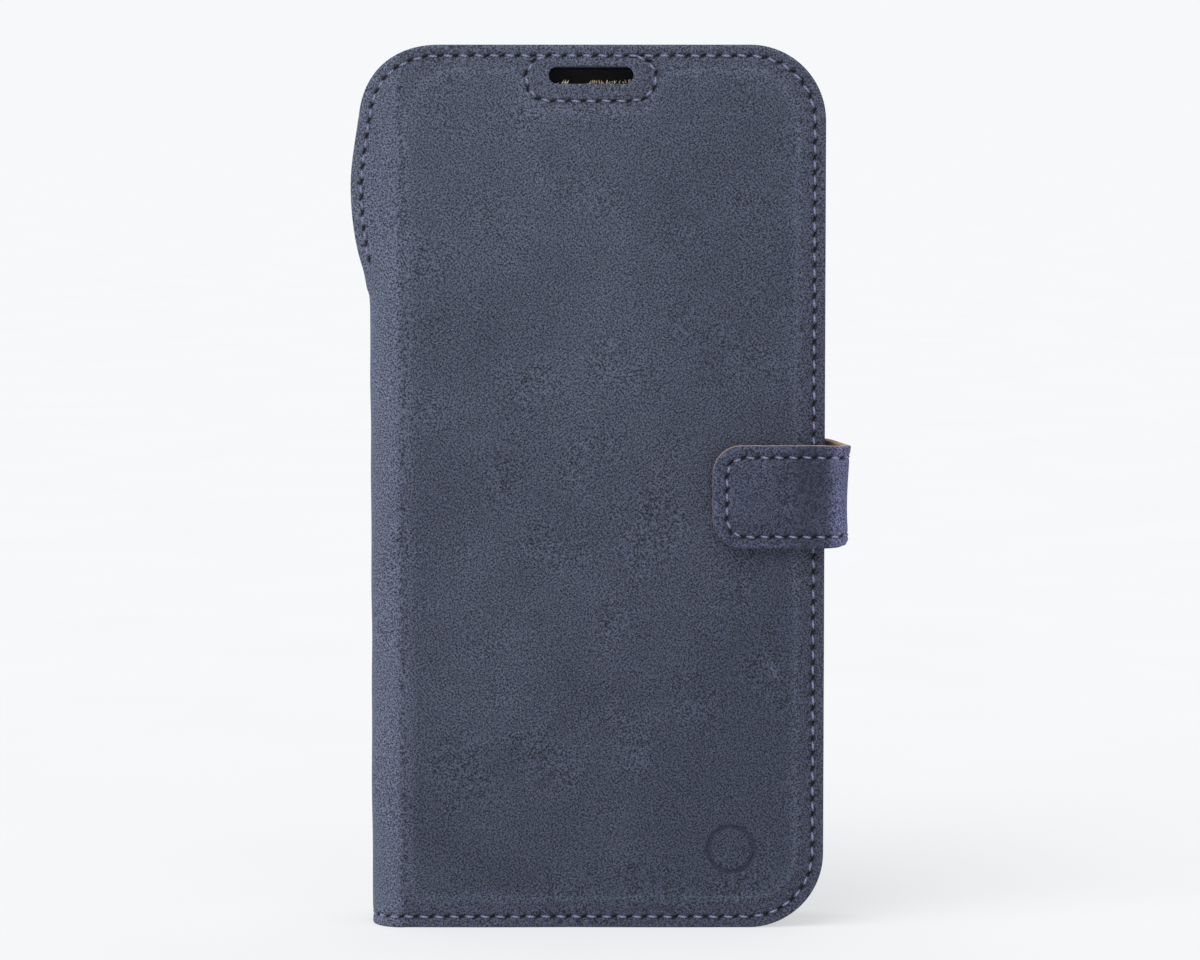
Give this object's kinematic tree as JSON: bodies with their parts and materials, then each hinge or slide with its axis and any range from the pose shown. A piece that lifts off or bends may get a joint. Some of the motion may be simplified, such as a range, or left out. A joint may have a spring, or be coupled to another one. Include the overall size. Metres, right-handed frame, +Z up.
{
  "type": "phone wallet case",
  "caption": "Book-style leather wallet case for a large phone: padded cover with earpiece slot, card pockets inside, hard phone tray, folding spine and magnetic side strap.",
  "frame": {"origin": "middle of the whole case's width and depth, on the surface it stands on", "axes": "+Z up the case from its bottom edge to its top edge, -Y out of the front cover, +Y out of the back, +X towards the free edge that carries the strap"},
  "size_m": [0.0958, 0.0228, 0.17],
  "materials": {
    "leather": "matte nubuck, navy",
    "pocket_leather": "matte nubuck, navy",
    "lining": "brushed microfibre, dark blue grey",
    "suede": "raw suede, tan",
    "board": "pressed fibre board",
    "thread": "waxed polyester thread, blue",
    "tray": "moulded, satin black",
    "adhesive": "glue sheet",
    "steel": "plated disc",
    "magnet": "nickel plated",
    "foam": "foam sheet"
  },
  "bodies": {
    "back": {"back_leather": "leather", "back_board": "board", "back_lining": "lining", "back_thread": "thread", "tray_adhesive_pad": "adhesive", "phone_tray": "tray", "strap_root_tab": "leather"},
    "spine": {"spine_leather": "leather", "spine_lining": "lining", "spine_thread_bottom": "thread", "spine_thread_top": "thread"},
    "cover": {"cover_leather": "leather", "cover_board": "board", "closure_plate": "steel", "cover_lining": "lining", "cover_thread": "thread", "speaker_slot_thread": "thread", "note_pocket": "pocket_leather", "card_pocket_1": "pocket_leather", "card_pocket_2": "pocket_leather", "card_pocket_3": "pocket_leather"},
    "strap_side": {"strap_side_leather": "leather", "strap_side_lining": "suede", "strap_side_thread_upper": "thread", "strap_side_thread_lower": "thread"},
    "strap_flap": {"strap_flap_leather": "leather", "strap_flap_core": "foam", "strap_flap_lining": "suede", "strap_flap_thread": "thread", "strap_magnet": "magnet"}
  },
  "joints": [
    {"name": "spine_fold", "type": "hinge", "parent": "back", "child": "spine", "pos_m": [-0.043, 0.00995, 0], "axis": [0, 0, -1], "range_deg": [0, 180]},
    {"name": "cover_fold", "type": "hinge", "parent": "spine", "child": "cover", "pos_m": [-0.043, -0.00685, 0], "axis": [0, 0, -1], "range_deg": [0, 180]},
    {"name": "strap_side_swing", "type": "hinge", "parent": "back", "child": "strap_side", "pos_m": [0.0435, 0.00975, 0], "axis": [0, 0, 1], "range_deg": [0, 90], "deforming": ["strap_side_leather", "strap_side_lining", "strap_side_thread_upper", "strap_side_thread_lower"]},
    {"name": "strap_flap_fold", "type": "hinge", "parent": "strap_side", "child": "strap_flap", "pos_m": [0.0473, -0.01075, 0], "axis": [0, 0, 1], "range_deg": [0, 90], "deforming": ["strap_flap_leather", "strap_flap_core", "strap_flap_lining", "strap_flap_thread", "strap_magnet"]}
  ],
  "couplings": [
    {"joint": "cover_fold", "follows": "spine_fold", "ratio": 1}
  ]
}
